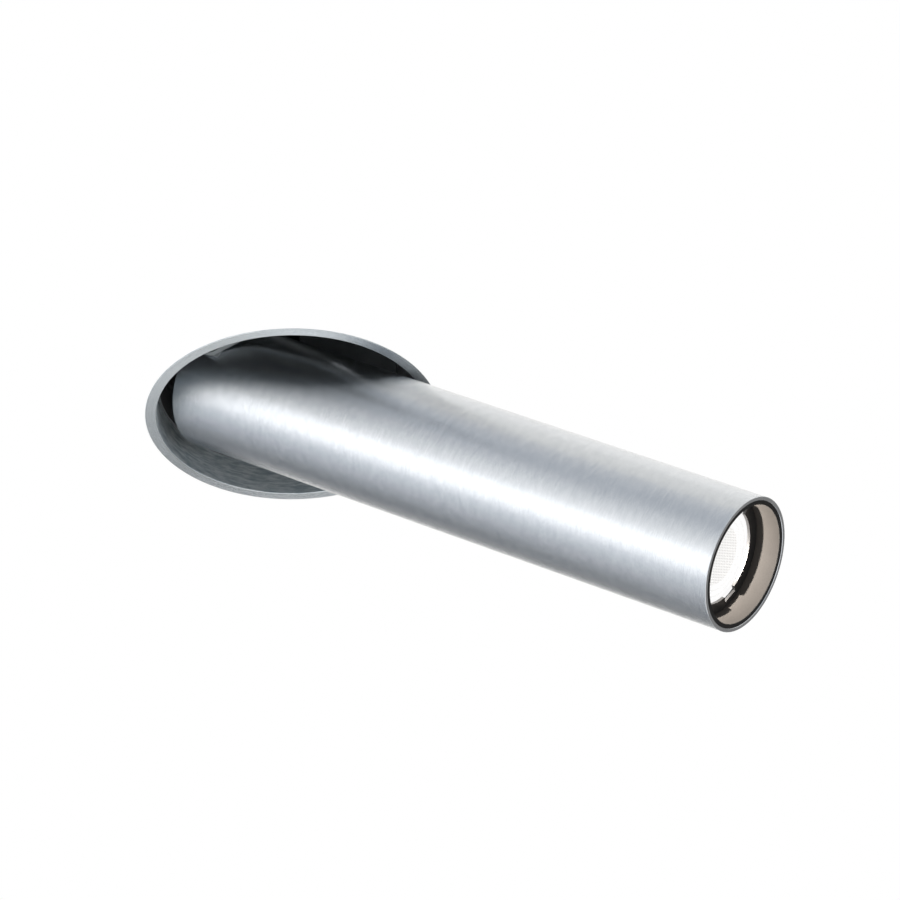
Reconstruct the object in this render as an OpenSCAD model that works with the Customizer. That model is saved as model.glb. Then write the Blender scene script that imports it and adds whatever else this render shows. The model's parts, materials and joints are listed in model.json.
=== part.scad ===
// Adjustable soffit downlight: a slim cylinder lamp that tilts and turns out of a recessed round can.
// The origin is the centre of the soffit plane, where the gasket seats, with +Z up into the soffit.
// The lamp is drawn at its full tilt, towards +X.

/* [Lamp tube] */
// Outside diameter of the lamp tube
tube_d = 70; // [66:1:72]
// Length of the lamp tube
tube_len = 342; // [300:2:380]
// Wall of the lamp tube
tube_wall = 2; // [1.5:0.25:2.5]
// Rounding of the tube's rear edge
rear_round = 0.8; // [0.4:0.1:1.2]
// Bevel of the tube's front edge
front_bevel = 0.2; // [0.1:0.05:0.4]
// Full tilt of the lamp from straight down, in degrees
tilt = 56.3; // [52:0.1:58]

/* [Trim ring] */
// Outside diameter of the trim ring
trim_d = 155; // [154:0.5:162]
// Clear opening inside the trim ring
opening_d = 143.5; // [142:0.5:145]
// Thickness of the trim flange
flange_t = 1.4; // [1:0.1:2]
// Width of the flange's tapered back edge
flange_taper = 1.6; // [1:0.1:2]
// Bevel at the flange's visible edges
flange_bevel = 0.35; // [0.2:0.05:0.5]
// Wall of the trim ring's collar
collar_wall = 2; // [1.75:0.25:2.5]
// Height of the collar above the soffit plane
collar_h = 24; // [20:1:30]
// Thickness of the soffit gasket
gasket_t = 0.8; // [0.5:0.1:1.5]
// Clear gap between the tilted tube and the ring's lower lip
lip_gap = 0.4; // [0.3:0.1:1.2]

/* [Can] */
// Sheet thickness of the can
can_wall = 1.2; // [1:0.1:1.5]
// Depth that the can plugs into the collar
can_plug = 8; // [6:1:10]
// Height of the can's shoulder above the soffit plane
neck_z = 60; // [56:1:64]
// Height of the can's cone at the shoulder
neck_h = 5; // [4:0.5:7]
// Height of a rolled stiffening bead's bulge
bead = 0.7; // [0.4:0.1:1]
// Clear gap between the lamp's swinging rear edge and the can
sweep_gap = 4; // [3.5:0.25:5]
// Thickness of the can's lid
lid_t = 2.5; // [2:0.25:3]

/* [Tilt hinge] */
// Distance of the hinge axis above the tube's surface
hinge_rise = 8.5; // [8.5:0.25:10]
// Thickness of the tilt arms on the lamp
arm_t = 3; // [2.5:0.25:3.5]
// Thickness of the yoke's cheek plates
cheek_t = 2.5; // [2:0.25:3]
// Thickness of the friction washers in the tilt hinge
tilt_washer_t = 0.6; // [0.5:0.1:1]
// Diameter of the hinge bolts' shoulders
bolt_d = 8; // [6:0.5:8]

/* [Turntable] */
// Thickness of the turntable plate
table_t = 3; // [2.5:0.25:4]
// Outside diameter of the hollow spindle
spindle_d = 20; // [18:0.5:22]
// Bore of the hollow spindle
spindle_bore = 13; // [11:0.5:14]
// Thickness of the turntable's friction washer
pan_washer_t = 2; // [1.5:0.25:3]

/* [Retaining clips] */
// Length of a clip arm from its pin to its tip
clip_len = 66; // [58:1:68]
// Steepness of the released clip arm below level, in degrees
clip_drop = 55.8; // [54:0.2:58]
// Sheet thickness of the clip arms and brackets
clip_t = 1.5; // [1:0.25:1.75]
// Diameter of the clip pins
clip_pin_d = 3; // [2.5:0.1:3.2]
// Wire diameter of the clip springs
wire_d = 0.9; // [0.7:0.1:1]
// Curls in a clip spring
curls = 5; // [4:1:5]

/* [Junction box] */
// Length of the junction box
box_l = 96; // [92:1:100]
// Width of the junction box
box_w = 66; // [62:1:72]
// Height of the junction box
box_h = 36; // [34:1:42]
// Wall of the junction box
box_wall = 2.5; // [2:0.25:3]
// Bore of the cord gland's seal
cord_bore = 8; // [6:0.5:9]

/* [Light engine] */
// Depth of the lens holder's front face behind the tube's front edge
lens_depth = 14; // [10:0.5:18]
// Visible diameter of the lens
lens_d = 49.6; // [47:0.4:51]
// Thickness of the lens
lens_h = 15; // [12:0.5:18]
// Height of the holder's lip over the lens face
lip_h = 1.6; // [1:0.1:2.5]
// Wall of the black snoot
snoot_wall = 2.1; // [1.8:0.1:2.5]
// Length of the heat sink
sink_len = 70; // [55:1:85]
// Number of fins on the heat sink
fins = 18; // [12:1:22]
// Length of the driver
driver_len = 96; // [80:1:100]

/* [Hidden] */
$fn = 96;

// Clearances
eps = 0.01;
run_gap = 0.05;
slip_gap = 0.1;
face_gap = 0.05;
over = 1;
reach = 10;

// Screw drives
socket_share = 0.7;
socket_depth = 0.8;
head_room = 2;

// Lamp and hinge geometry
tube_r = tube_d / 2;
tube_in_r = tube_r - tube_wall;
trim_r = trim_d / 2;
opening_r = opening_d / 2;
collar_r = opening_r + collar_wall;
flange_z = -gasket_t;
face_z = flange_z - flange_t;
can_r = opening_r - slip_gap;
can_in_r = can_r - can_wall;
can_z = collar_h - can_plug;
hinge_off = tube_r + hinge_rise;
hinge_s = hinge_off * tan(tilt / 2);
aim_z = face_z + (opening_r - (tube_r + lip_gap) / cos(tilt)) / tan(tilt);
hinge_z = aim_z + hinge_s;
sweep_r = can_in_r - sweep_gap + hinge_off;
rear_s = sqrt(pow(sweep_r, 2) - pow(hinge_off + tube_r, 2)) - hinge_s;
front_s = tube_len - rear_s;

// Rear of the lamp
gland_h = 14;
cap_t = 7;
cap_sink = 0.5;
o_ring = 2.4;

// Yoke
arm_screw_gap = 7;
arm_in_y = tube_r + 0.6;
arm_out_y = arm_in_y + arm_t;
cheek_in_y = arm_out_y + tilt_washer_t + 2 * face_gap;
cheek_out_y = cheek_in_y + cheek_t;
ear_t = 2;
ear_out_y = cheek_out_y + ear_t;
neck_gap = 2;
neck_in_r = sqrt(pow(sweep_r, 2) - pow(neck_z - hinge_z, 2)) - hinge_off + neck_gap;
neck_r = neck_in_r + can_wall;
cheek_x0 = 1;
cheek_x1 = sqrt(pow(neck_in_r - 2, 2) - pow(cheek_out_y, 2));
ear_x0 = cheek_x0 - 13;
ear_x1 = sqrt(pow(neck_in_r - 2, 2) - pow(ear_out_y, 2));
boss_r = 12;
arm_boss_r = 8.5;
arm_foot_r = 7;
arm_half = 6.5;
bolt_r = bolt_d / 2;
bolt_head_r = bolt_r + 2.5;
bolt_head_h = 4.5;
tilt_nut_h = 4.6;
tilt_nut_w = 3.2;
bolt_bevel = 0.6;
bolt_socket = [2.6, 2.5];
arm_foot = [5, cap_sink + cap_t + arm_screw_gap / 2 + 3.2 - rear_s];
arm_knee = [26, hinge_s - 45];
arm_hinge = [hinge_off, hinge_s];

// Turntable stack
head_gap = 3.6;
spindle_r = spindle_d / 2;
spindle_head_h = 2.4;
spindle_flange = 5;
pan_washer_w = 18;
disc_t = 0.8;
disc_land = 1.5;
disc_w = 5;
table_z = hinge_z + hinge_s + rear_s + gland_h + head_gap + spindle_head_h;
table_r = neck_in_r - 3;
washer_z = table_z + table_t + face_gap;
lid_z = washer_z + pan_washer_t + face_gap;
lid_top = lid_z + lid_t;
bush_wall = 2;
bush_r = spindle_r + run_gap + bush_wall;
bush_flange_r = bush_r + 4;
bush_flange_t = 1.5;
pan_spring_z = lid_top + bush_flange_t + face_gap;
pan_spring_h = 1.8;
pan_nut_z = pan_spring_z + pan_spring_h + face_gap;
pan_nut_h = 6;
pan_nut_r = spindle_r + 5.5;
nut_bevel = 1;
spindle_top = pan_nut_z + pan_nut_h + 2;
rim_w = 8;
rim_t = 1.5;
stop_r = 2;
stop_x = -table_r + 9;

// Retaining clips
clip_n = 3;
clip_start = 60;
bracket_top = 14;
rivet_up = 10;
pin_r = clip_pin_d / 2;
coil_r = pin_r + wire_d / 2 + 1.05;
coil_room = 0.15;
pin_x = neck_r + face_gap + clip_t + wire_d / 2 + coil_r + coil_room;
pin_z = neck_z + neck_h + 5;
eye_r = pin_r + 1.6;
eye_y = 4.6;
ear_y = eye_y + clip_t + 0.3;
bracket_y = ear_y + clip_t;
arm_half_w = 9;
arm_wide_at = 11;
arm_dir = [cos(clip_drop), -sin(clip_drop)];
arm_normal = [sin(clip_drop), cos(clip_drop)];
stop_bar_r = 1.2;
stop_at = 7;
stop_gap = 0.15;
lug_l = arm_wide_at - 1;
lug_end_r = clip_t / 2 + 0.1;
curl_r = clip_t / 2 + 0.2;
pad_r = 2.5;
pad_t = 4;
pad_side = 1.2;
pad_l = 11;
rivet_r = 1.6;

// Can details
bead_h = 5;
bead_at = [0.45, 0.78];
vent_r = 3;
vent_n = 6;
vent_turn = 30;
vent_drop = 20;

// Junction box
box_z = lid_top;
box_r = 6;
post_r = 4.2;
post_x = box_l / 2 - box_wall - 3.4;
post_y = box_w / 2 - box_wall - 3.4;
screw_r = 1.5;
gland_z = box_z + box_h / 2 + 2;
gland_r = 8;
gland_hex_r = 10.5;
gland_in_r = 6.5;

// Light engine, measured along the lamp from the aim point
snoot_r = tube_in_r - slip_gap;
snoot_in_r = snoot_r - snoot_wall;
holder_s = front_s - lens_depth;
lens_s = holder_s - lip_h;
lens_r = lens_d / 2;
lens_flange_r = lens_r + 2.2;
lens_flange_t = 1.6;
holder_h = 20;
holder_r = snoot_in_r - run_gap;
notch_w = 9;
notch_in = 2.7;
notch_drop = 0.35;
notch_angle = 13.6;
board_s = holder_s - holder_h;
board_t = 1.6;
board_r = 22;
sink_s = board_s - board_t;
snoot_len = front_s - sink_s - face_gap;
snoot_ring = 1.2;
snoot_ring_gap = 5;
sink_base = 8;
fin_t = 1.6;
sink_core_r = 11;
tray_s = -rear_s + cap_sink + cap_t;
tray_t = 2;

// Places its children on the lamp: +Z runs to the lens, +X is the lamp's upper side
module on_lamp() {
    translate([0, 0, aim_z]) rotate([0, 180 - tilt, 0]) rotate([0, 0, 180]) children();
}

// Places its children round the can's axis, with +X outwards
module round_can(angle) {
    rotate([0, 0, angle]) children();
}

function clip_angle(i) = clip_start + (i - 1) * 360 / clip_n;

// Plain ring with square edges
module ring(r_in, r_out, h) {
    difference() {
        cylinder(r = r_out, h = h);
        translate([0, 0, -eps]) cylinder(r = r_in, h = h + 2 * eps);
    }
}

// Flat bar between two round ends
module bar(p, q, rp, rq) {
    d = norm(q - p);
    a = atan2(q[1] - p[1], q[0] - p[0]);
    b = acos((rp - rq) / d);
    translate(p) circle(r = rp);
    translate(q) circle(r = rq);
    polygon([
        p + rp * [cos(a + b), sin(a + b)], q + rq * [cos(a + b), sin(a + b)],
        q + rq * [cos(a - b), sin(a - b)], p + rp * [cos(a - b), sin(a - b)]
    ]);
}

// Rectangle with round corners
module round_rect(l, w, r) {
    square([l - 2 * r, w], center = true);
    square([l, w - 2 * r], center = true);
    for (x = [-1, 1], y = [-1, 1]) translate([x * (l / 2 - r), y * (w / 2 - r)]) circle(r = r);
}

// Cutter for a clearance hole through a sheet near z = 0
module through_hole(r) {
    translate([0, 0, -reach / 2]) cylinder(r = r + slip_gap, h = reach);
}

// Countersunk screw with its head's face at z = 0, pointing down
module sunk_screw(r, head_r, length) {
    head_h = head_r - r;
    difference() {
        union() {
            translate([0, 0, -head_h]) cylinder(r1 = r, r2 = head_r, h = head_h);
            translate([0, 0, -length]) cylinder(r = r, h = length - head_h + eps);
        }
        translate([0, 0, -socket_depth * r]) cylinder(r = socket_share * r, h = r, $fn = 6);
    }
}

// Countersunk hole that the screw above drops into
module sunk_hole(r, head_r, length) {
    gap = slip_gap;
    translate([0, 0, -(head_r - r)]) cylinder(r1 = r + gap, r2 = head_r + gap, h = head_r - r);
    translate([0, 0, -length]) cylinder(r = r + gap, h = length);
    cylinder(r = head_r + gap, h = head_room);
}

// Domed screw with its seat at z = 0, pointing down
module pan_screw(r, head_r, head_h, length) {
    rim_h = 0.45 * head_h;
    dome = [0.8 * head_r, 0.85 * head_h];
    crown_r = 0.45 * head_r;
    socket_r = 0.4 * head_r;
    difference() {
        rotate_extrude() polygon([
            [0, -length], [r, -length], [r, 0], [head_r, 0], [head_r, rim_h],
            dome, [crown_r, head_h], [0, head_h]
        ]);
        translate([0, 0, head_h / 2]) cylinder(r = socket_r, h = head_h, $fn = 6);
    }
}

/* Trim and can */

collar_screw_z = collar_h - can_plug / 2;
collar_screw_r = 1.4;
collar_screw_head = 2.6;
collar_screw_start = 95;
collar_screw_sink = 0.1;
collar_screw_l = 4.6;

module collar_screw_places() {
    for (i = [0:2]) round_can(collar_screw_start + i * 120)
        translate([collar_r - collar_screw_sink, 0, collar_screw_z]) rotate([0, 90, 0]) children();
}

module trim_ring() color("#b4bcc4") difference() {
    rotate_extrude($fn = 180) polygon([
        [opening_r, face_z + flange_bevel], [opening_r + flange_bevel, face_z],
        [trim_r - flange_bevel, face_z], [trim_r, face_z + flange_bevel],
        [trim_r - flange_taper, flange_z], [collar_r, flange_z], [collar_r, collar_h],
        [opening_r, collar_h]
    ]);
    collar_screw_places() sunk_hole(collar_screw_r, collar_screw_head, reach);
}

module soffit_gasket() color("#202224")
    translate([0, 0, flange_z]) ring(collar_r + slip_gap, trim_r - flange_taper, gasket_t);

// Lower drum of the can, with two rolled beads and the shoulder; it plugs into the ring's collar
module can_skirt() color("#26282b") difference() {
    half = bead_h / 2;
    flat = bead_h / 6;
    b1 = can_z + (neck_z - can_z) * bead_at[0];
    b2 = can_z + (neck_z - can_z) * bead_at[1];
    rotate_extrude($fn = 180) polygon([
        [can_in_r, can_z], [can_r, can_z],
        [can_r, b1 - half], [can_r + bead, b1 - flat], [can_r + bead, b1 + flat], [can_r, b1 + half],
        [can_r, b2 - half], [can_r + bead, b2 - flat], [can_r + bead, b2 + flat], [can_r, b2 + half],
        [can_r, neck_z], [neck_r, neck_z + neck_h], [neck_in_r, neck_z + neck_h], [can_in_r, neck_z],
        [can_in_r, b2 + half], [can_in_r + bead, b2 + flat],
        [can_in_r + bead, b2 - flat], [can_in_r, b2 - half],
        [can_in_r, b1 + half], [can_in_r + bead, b1 + flat],
        [can_in_r + bead, b1 - flat], [can_in_r, b1 - half]
    ]);
    collar_screw_places() translate([0, 0, -reach])
        cylinder(r = collar_screw_r + slip_gap, h = reach);
}

// Upper drum, seamed edge to edge on the shoulder; the lid sits on its inner rim
module recess_can() color("#26282b") difference() {
    rotate_extrude($fn = 180) polygon([
        [neck_in_r, neck_z + neck_h], [neck_r, neck_z + neck_h], [neck_r, lid_z],
        [neck_r - rim_w, lid_z], [neck_r - rim_w, lid_z - rim_t], [neck_in_r, lid_z - rim_t]
    ]);
    lid_screw_places() through_hole(screw_r);
    for (i = [1:clip_n]) round_can(clip_angle(i)) rivet_places() through_hole(rivet_r);
    for (i = [1:vent_n]) round_can(i * 360 / vent_n + vent_turn)
        translate([neck_in_r, 0, lid_z - vent_drop]) rotate([0, 90, 0]) through_hole(vent_r);
}

module collar_screws() color("#8c9196")
    collar_screw_places() sunk_screw(collar_screw_r, collar_screw_head, collar_screw_l);

/* Lid and turning bearing */

lid_screw_n = 4;
lid_screw_head = 2.9;
lid_screw_head_h = 2;

module lid_screw_places() {
    for (i = [0:lid_screw_n - 1]) round_can(45 + i * 90)
        translate([neck_r - rim_w / 2, 0, lid_top]) children();
}

module can_lid() color("#3a3d41") difference() {
    groove_r = neck_r - rim_w - 3;
    groove_w = 1.5;
    groove_t = 0.6;
    boss_w = 1.5;
    boss_t = 0.5;
    union() {
        translate([0, 0, lid_z]) cylinder(r = neck_r, h = lid_t);
        translate([stop_x, 0, lid_z - boss_t]) cylinder(r = stop_r + boss_w, h = boss_t + slip_gap);
    }
    translate([0, 0, lid_z - over]) cylinder(r = bush_r, h = lid_t + 2 * over);
    translate([stop_x, 0, lid_z - over]) cylinder(r = stop_r, h = lid_t + 2 * over);
    lid_screw_places() through_hole(screw_r);
    translate([0, 0, lid_top - groove_t]) ring(groove_r - groove_w, groove_r, groove_t + over);
}

module lid_screws() color("#b9bdc2")
    lid_screw_places() pan_screw(screw_r, lid_screw_head, lid_screw_head_h, lid_t + rim_t);

module spindle_bush() color("#b08d57") difference() {
    union() {
        translate([0, 0, lid_z]) cylinder(r = bush_r, h = lid_t);
        translate([0, 0, lid_top]) cylinder(r = bush_flange_r, h = bush_flange_t);
    }
    translate([0, 0, lid_z - over])
        cylinder(r = spindle_r + run_gap, h = lid_t + bush_flange_t + 2 * over);
}

pan_stop_low = 1.2;

module pan_stop() color("#8c9196")
    translate([stop_x, 0, table_z + table_t - pan_stop_low])
        cylinder(r = stop_r, h = lid_top - table_z - table_t + pan_stop_low);

/* Junction box */

bush_room = 1;
post_hole = 14;
post_room = 0.6;
box_screw_grip = 9;
box_screw_head = 3;
box_screw_head_h = 2;
box_screw_fit = 0.05;

module box_screw_places() {
    for (x = [-1, 1], y = [-1, 1]) translate([x * post_x, y * post_y, 0]) children();
}

module junction_box() color("#9ea3a8") difference() {
    union() {
        difference() {
            translate([0, 0, box_z]) linear_extrude(box_h) round_rect(box_l, box_w, box_r);
            translate([0, 0, box_z + box_wall]) linear_extrude(box_h)
                round_rect(box_l - 2 * box_wall, box_w - 2 * box_wall, box_r - box_wall);
        }
        intersection() {
            translate([0, 0, box_z]) linear_extrude(box_h) round_rect(box_l, box_w, box_r);
            box_screw_places() translate([0, 0, box_z]) cylinder(r = post_r, h = box_h);
        }
    }
    translate([0, 0, box_z - over]) cylinder(r = bush_flange_r + bush_room, h = box_wall + 2 * over);
    box_screw_places() translate([0, 0, box_z + box_h - post_hole])
        cylinder(r = screw_r, h = post_hole + over);
    translate([box_l / 2 - box_wall / 2, 0, gland_z]) rotate([0, 90, 0]) through_hole(gland_r);
}

lid_plate = 2.2;
lid_skirt = 2.5;

module junction_lid() color("#a8adb2") difference() {
    skirt_gap = 0.2;
    top = box_z + box_h;
    union() {
        translate([0, 0, top]) linear_extrude(lid_plate) round_rect(box_l, box_w, box_r);
        translate([0, 0, top - lid_skirt]) linear_extrude(lid_skirt + eps) difference() {
            round_rect(box_l - 2 * box_wall - 2 * skirt_gap, box_w - 2 * box_wall - 2 * skirt_gap,
                box_r - box_wall - skirt_gap);
            square([box_l - 4 * box_wall, box_w - 4 * box_wall], center = true);
            for (x = [-1, 1], y = [-1, 1]) translate([x * post_x, y * post_y])
                circle(r = post_r + post_room);
        }
    }
    box_screw_places() translate([0, 0, top]) through_hole(screw_r);
}

module box_screws() color("#b9bdc2")
    box_screw_places() translate([0, 0, box_z + box_h + lid_plate])
        pan_screw(screw_r - box_screw_fit, box_screw_head, box_screw_head_h, lid_plate + box_screw_grip);

terminal_l = 12;
terminal_w = 34;
terminal_h = 14;
terminal_x = -box_l / 2 + box_wall + 14;
poles = 3;
pole_gap = 0.6;
foot_w = 2;
foot_t = 4;
wire_hole_z = 7;
wire_hole_r = 1.9;

module terminal_block() color("#d9dad6") translate([terminal_x, 0, box_z + box_wall]) {
    pitch = terminal_w / poles;
    difference() {
        union() {
            translate([-terminal_l / 2 - foot_w, -terminal_w / 2, 0])
                cube([terminal_l + 2 * foot_w, terminal_w, foot_t]);
            for (i = [0:poles - 1])
                translate([-terminal_l / 2, (i - 1.5) * pitch + pole_gap, 0])
                    cube([terminal_l, pitch - 2 * pole_gap, terminal_h]);
        }
        for (i = [0:poles - 1]) translate([0, (i - 1) * pitch, wire_hole_z]) {
            translate([-terminal_l, 0, 0]) rotate([0, 90, 0])
                cylinder(r = wire_hole_r, h = 2 * terminal_l);
            cylinder(r = wire_hole_r, h = terminal_h);
        }
    }
}

module at_gland() {
    translate([box_l / 2, 0, gland_z]) rotate([0, 90, 0]) children();
}

gland_flange_h = 5;
gland_thread = 5;
gland_nut_h = 9;
gland_inner = 4;
gland_dome_h = 3;
gland_shoulder = [2, 0.8];
gland_crown = 3.2;
gland_nut_wall = 1.6;
gland_nut_gap = 0.2;
seal_sink = 3;

module gland_body() color("#2b2d30") at_gland() difference() {
    union() {
        translate([0, 0, -box_wall - gland_inner])
            cylinder(r = gland_r, h = box_wall + gland_inner + eps);
        cylinder(r = gland_hex_r, h = gland_flange_h, $fn = 6);
        translate([0, 0, gland_flange_h - eps]) cylinder(r = gland_r, h = gland_thread);
    }
    translate([0, 0, -box_wall - gland_inner - over])
        cylinder(r = gland_in_r, h = box_wall + gland_inner + gland_flange_h + gland_thread + 2 * over);
}

module gland_nut() color("#2b2d30") at_gland() translate([0, 0, gland_flange_h + gland_nut_gap])
    difference() {
        outer = gland_r + gland_nut_wall;
        straight = gland_nut_h - gland_dome_h;
        union() {
            cylinder(r = outer / cos(30), h = straight, $fn = 6);
            rotate_extrude() polygon([
                [0, 0], [outer, 0], [outer, straight],
                [outer - gland_shoulder[0], gland_nut_h - gland_shoulder[1]],
                [outer - gland_crown, gland_nut_h], [0, gland_nut_h]
            ]);
        }
        translate([0, 0, -over]) cylinder(r = gland_r + slip_gap, h = gland_thread + over);
        translate([0, 0, -over]) cylinder(r = cord_bore / 2 + post_room, h = gland_nut_h + 2 * over);
    }

module gland_seal() color("#161718") at_gland()
    translate([0, 0, gland_flange_h - seal_sink])
        ring(cord_bore / 2, gland_in_r, gland_thread + seal_sink);

/* Retaining clips */

rivet_turn = 3.8;
bracket_nose = 3.2;
nose_z = 3.6;
ear_top = 5;
bar_cover = [0.6, 0.4];

module rivet_places() {
    for (a = [-1, 1]) rotate([0, 0, a * rivet_turn])
        translate([neck_r + clip_t + face_gap, 0, pin_z + rivet_up]) rotate([0, 90, 0]) children();
}

module clip_bracket(i) color("#9ba0a5") round_can(clip_angle(i)) difference() {
    seat_r = neck_r + face_gap;
    base_z0 = neck_z + neck_h;
    base_h = pin_z + bracket_top - base_z0;
    lug_h = eye_r + (lug_end_r - eye_r) * stop_at / lug_l;
    drop = [pin_x, pin_z] + stop_at * arm_dir - (lug_h + stop_bar_r + stop_gap) * arm_normal;
    union() {
        intersection() {
            translate([0, 0, base_z0]) ring(seat_r, seat_r + clip_t, base_h);
            translate([0, -bracket_y, base_z0 - over])
                cube([neck_r * 2, 2 * bracket_y, base_h + 2 * over]);
        }
        for (s = [-1, 1]) translate([0, s * (ear_y + clip_t / 2) + clip_t / 2, 0])
            rotate([90, 0, 0]) linear_extrude(clip_t) polygon([
                [seat_r + clip_t / 2, pin_z + ear_top], [pin_x + bracket_nose, pin_z + nose_z],
                [drop[0] + stop_bar_r + bar_cover[0], drop[1] - bar_cover[1]],
                [drop[0] - bar_cover[1], drop[1] - stop_bar_r],
                [seat_r + clip_t / 2, base_z0 + bar_cover[0]]
            ]);
        translate([drop[0], ear_y + eps, drop[1]]) rotate([90, 0, 0])
            cylinder(r = stop_bar_r, h = 2 * ear_y + 2 * eps);
    }
    translate([pin_x, bracket_y + over, pin_z]) rotate([90, 0, 0])
        cylinder(r = pin_r + run_gap, h = 2 * (bracket_y + over));
    rivet_places() through_hole(rivet_r);
}

pin_head_r = 2.4;
pin_head_h = 0.9;
tail_r = 2.4;
tail_h = 1;

module clip_pins() color("#c4c7ca") for (i = [1:clip_n]) round_can(clip_angle(i))
    translate([pin_x, 0, pin_z]) rotate([90, 0, 0]) union() {
        half = bracket_y + slip_gap;
        translate([0, 0, -half - pin_head_h]) cylinder(r = pin_r, h = 2 * half + 2 * pin_head_h);
        for (s = [-1, 1]) translate([0, 0, s * (half + pin_head_h / 2) - pin_head_h / 2])
            cylinder(r = pin_head_r, h = pin_head_h);
    }

module clip_rivets() color("#c4c7ca") for (i = [1:clip_n]) round_can(clip_angle(i))
    rivet_places() union() {
        grip = clip_t + can_wall + 0.3;
        head_h = 1.2;
        rotate_extrude() polygon([
            [0, slip_gap], [2.9, slip_gap], [2.6, 0.8], [1.4, head_h], [0, head_h]
        ]);
        translate([0, 0, -grip]) cylinder(r = rivet_r, h = grip + 2 * slip_gap);
        translate([0, 0, -grip - tail_h]) cylinder(r = tail_r, h = tail_h);
    }

// Points of a clip spring's wire: up the bracket, round the pin and out along the arm
coil_pitch = wire_d + 0.6;
coil_end = 90 - clip_drop;
coil_turn = 360 * curls + 180 - coil_end;
coil_steps = 8 * curls + 3;
leg_fixed = 4;
leg_moving = 20;
function coil_point(t) = let (a = 180 - coil_turn * t) [
    pin_x + coil_r * cos(a), coil_pitch * coil_turn / 360 * (t - 0.5), pin_z + coil_r * sin(a)
];
function spring_path() = let (first = coil_point(0), last = coil_point(1)) concat(
    [[first[0], first[1], first[2] - leg_fixed]],
    [for (k = [0:coil_steps]) coil_point(k / coil_steps)],
    [for (f = [0.5, 1]) last + f * leg_moving * [arm_dir[0], 0, arm_dir[1]]]
);

// Tube round a path: rings of points, then side faces and two ends
wire_sides = 6;
function unit(v) = v / norm(v);
function tangent(p, k) = unit(p[min(k + 1, len(p) - 1)] - p[max(k - 1, 0)]);
function ring_points(p, k) = let (
    t = tangent(p, k), side = unit([0, 1, 0] - t * t[1]), up = cross(t, side)
) [for (j = [0:wire_sides - 1]) let (a = 360 * j / wire_sides)
    p[k] + wire_d / 2 * (cos(a) * side + sin(a) * up)];

module wire(p) {
    n = len(p);
    m = wire_sides;
    points = [for (k = [0:n - 1]) each ring_points(p, k)];
    sides = [for (k = [0:n - 2], j = [0:m - 1], half = [0, 1]) let (
        a = k * m + j, b = k * m + (j + 1) % m, c = b + m, d = a + m
    ) half == 0 ? [a, b, c] : [a, c, d]];
    ends = concat([for (j = [1:m - 2]) [0, j + 1, j]],
        [for (j = [1:m - 2]) [(n - 1) * m, (n - 1) * m + j, (n - 1) * m + j + 1]]);
    polyhedron(points = points, faces = concat(sides, ends));
}

module clip_spring(i) color("#d4d6d8") round_can(clip_angle(i)) wire(spring_path());

light_hole_at = [0.42, 0.62];
light_hole_r = 4.5;
lug_gap = 0.6;

module clip_arm(i) color("#c0c4c8") round_can(clip_angle(i)) {
    tip = clip_len;
    difference() {
        translate([pin_x, 0, pin_z]) rotate([0, clip_drop, 0]) union() {
            translate([arm_wide_at, -arm_half_w, -clip_t / 2])
                cube([tip - arm_wide_at, 2 * arm_half_w, clip_t]);
            translate([eye_r + lug_gap, -eye_y - clip_t, -clip_t / 2])
                cube([arm_wide_at - eye_r, 2 * (eye_y + clip_t), clip_t]);
            for (s = [-1, 1]) translate([0, s * (eye_y + clip_t / 2) + clip_t / 2, 0])
                rotate([90, 0, 0]) linear_extrude(clip_t)
                    bar([0, 0], [lug_l, 0], eye_r, lug_end_r);
            translate([tip, arm_half_w, 0]) rotate([90, 0, 0])
                cylinder(r = curl_r, h = 2 * arm_half_w);
        }
        translate([pin_x, bracket_y, pin_z]) rotate([90, 0, 0])
            cylinder(r = pin_r + run_gap, h = 2 * bracket_y);
        translate([pin_x, 0, pin_z]) rotate([0, clip_drop, 0]) for (share = light_hole_at)
            translate([tip * share, 0, 0]) through_hole(light_hole_r);
    }
}

// Rubber boot over the arm's curled tip, with a thicker rolled end
module clip_pad(i) color("#17181a") round_can(clip_angle(i))
    translate([pin_x, 0, pin_z]) rotate([0, clip_drop, 0]) difference() {
        half = arm_half_w + pad_side;
        union() {
            translate([clip_len - pad_l, -half, -pad_t / 2]) cube([pad_l, 2 * half, pad_t]);
            translate([clip_len, half, 0]) rotate([90, 0, 0]) cylinder(r = pad_r, h = 2 * half);
        }
        translate([0, -arm_half_w - face_gap, -clip_t / 2 - face_gap])
            cube([clip_len, 2 * (arm_half_w + face_gap), clip_t + 2 * face_gap]);
        translate([clip_len, arm_half_w + face_gap, 0]) rotate([90, 0, 0])
            cylinder(r = curl_r + face_gap, h = 2 * (arm_half_w + face_gap));
    }

/* Turning yoke */

module turntable() color("#4a4e53") difference() {
    ear_z = neck_z;
    union() {
        translate([0, 0, table_z]) linear_extrude(table_t) intersection() {
            circle(r = table_r);
            square([2 * table_r, 2 * ear_out_y], center = true);
        }
        for (s = [-1, 1]) translate([0, s * (ear_out_y - ear_t / 2) + ear_t / 2, 0])
            rotate([90, 0, 0]) linear_extrude(ear_t) polygon([
                [ear_x0, table_z + table_t], [ear_x0, ear_z], [ear_x1, ear_z],
                [ear_x1, table_z + table_t]
            ]);
    }
    translate([0, 0, table_z - over]) cylinder(r = spindle_r, h = table_t + 2 * over);
    stop_slot();
    rivet_holes(cheek_rivet_r + slip_gap);
}

// Round slot that the fixed stop runs in, open for all but a short web
module stop_slot() {
    web = 4;
    room = 0.3;
    translate([0, 0, table_z + table_t - pan_stop_low - room]) rotate([0, 0, web / 2])
        rotate_extrude(angle = 360 - web) translate([-stop_x - stop_r - room, 0])
            square([2 * (stop_r + room), pan_stop_low + room + over]);
}

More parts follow.
